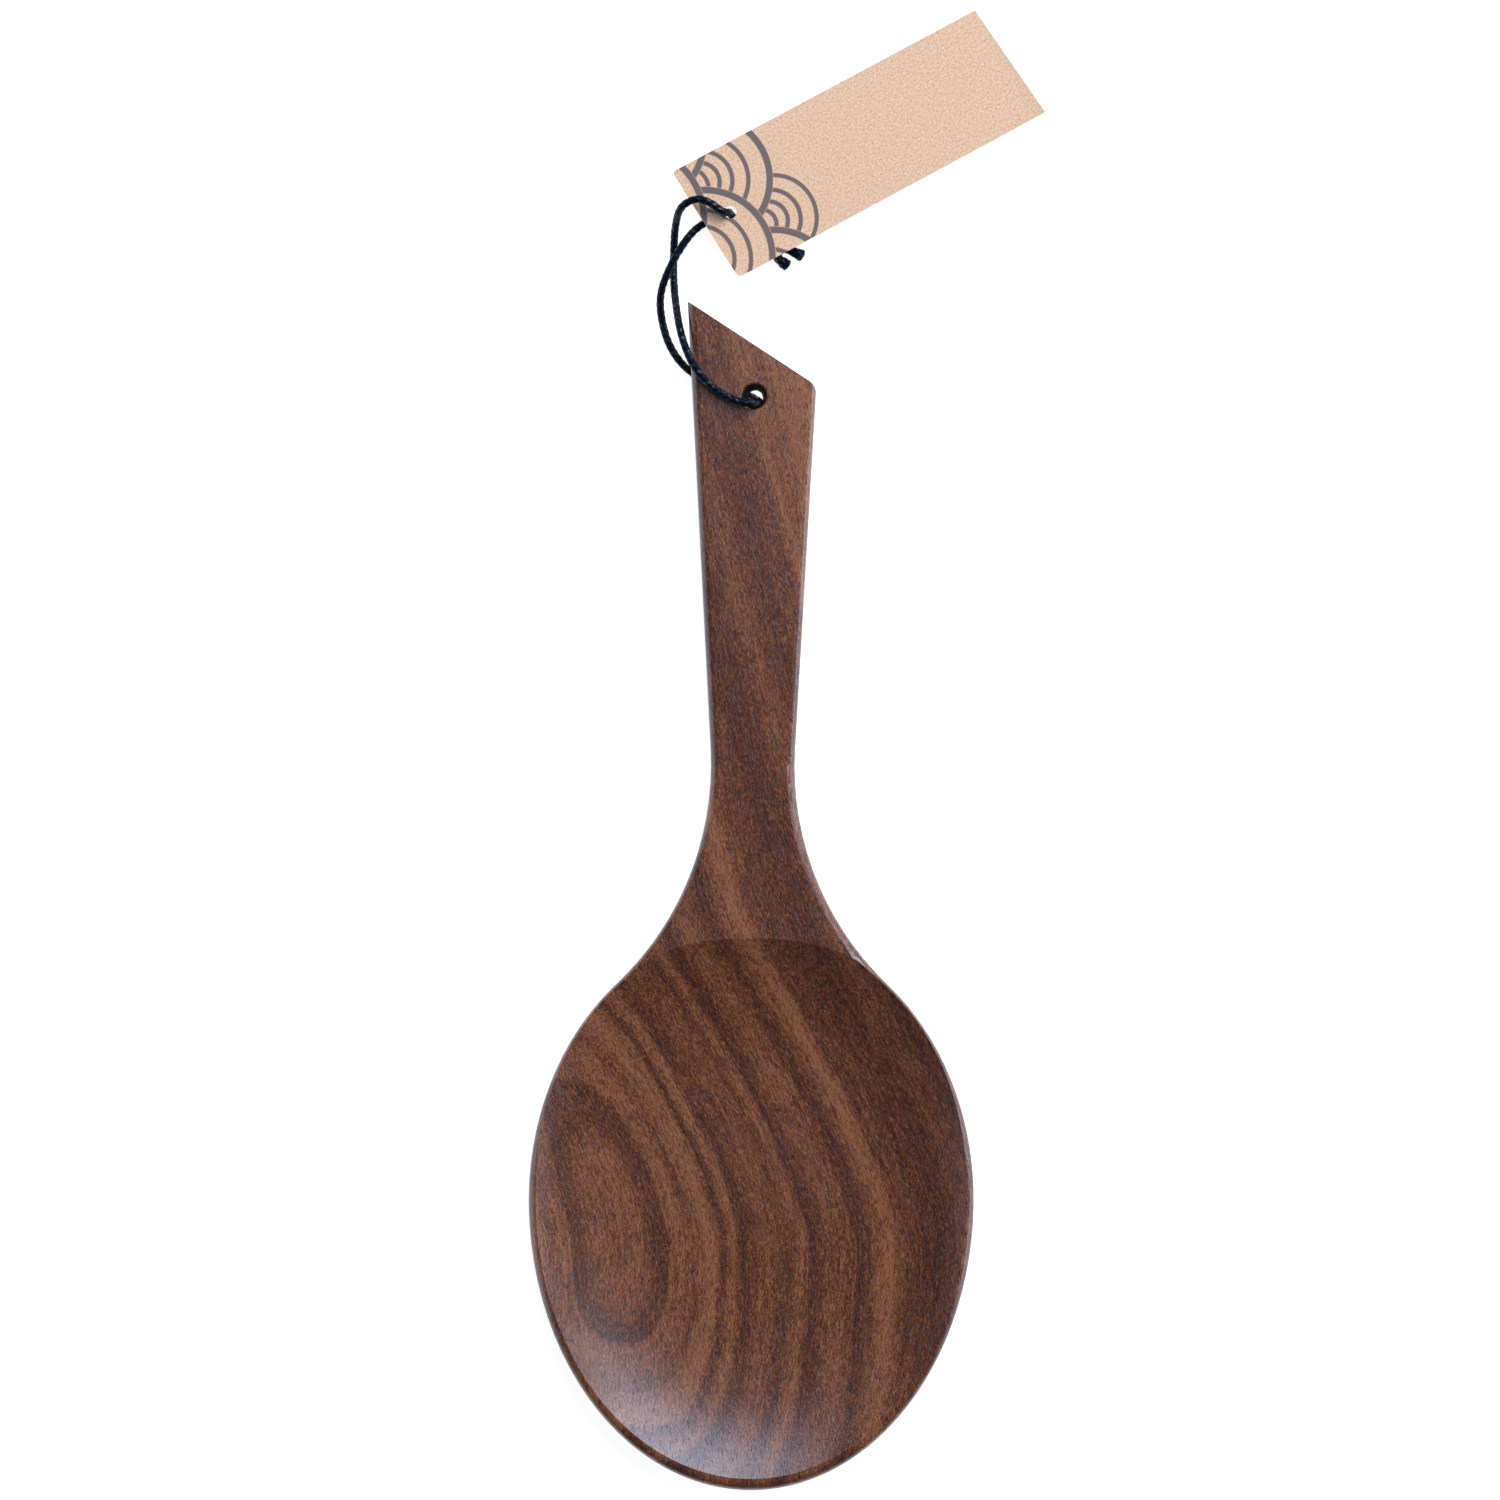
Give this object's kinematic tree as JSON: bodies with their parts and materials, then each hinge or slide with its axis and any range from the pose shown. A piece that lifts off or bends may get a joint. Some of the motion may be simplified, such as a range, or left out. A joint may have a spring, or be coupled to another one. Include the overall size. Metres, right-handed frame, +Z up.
{
  "type": "rice paddle",
  "caption": "Wooden rice paddle with an oval scooped blade, a flat slant-ended handle and a hanging hole, with a cord loop and a card hang tag.",
  "frame": {"origin": "middle of the paddle's outline, on the surface that it lies on", "axes": "+Y along the paddle towards the handle's end, +Z up out of the scooped face, +X to the right seen from above"},
  "size_m": [0.0938, 0.2747, 0.0114],
  "materials": {
    "wood": "oiled dark walnut, satin",
    "cord": "waxed black braided cotton",
    "card": "uncoated kraft card"
  },
  "bodies": {
    "paddle": {"paddle": "wood"},
    "cord": {"cord_front_strand": "cord", "cord_rear_strand": "cord", "cord_knot": "cord", "cord_end_short": "cord", "cord_end_long": "cord"},
    "tag": {"hang_tag": "card"}
  },
  "joints": [
    {"name": "cord_swing", "type": "hinge", "parent": "paddle", "child": "cord", "pos_m": [0, 0.0924, 0.0055], "axis": [0, 0, 1], "range_deg": [0, 60]},
    {"name": "tag_swivel", "type": "hinge", "parent": "cord", "child": "tag", "pos_m": [-0.00454, 0.12664, 0.00548], "axis": [0.0818, 0.0442, 0.9957], "range_deg": [-35, 12]}
  ]
}
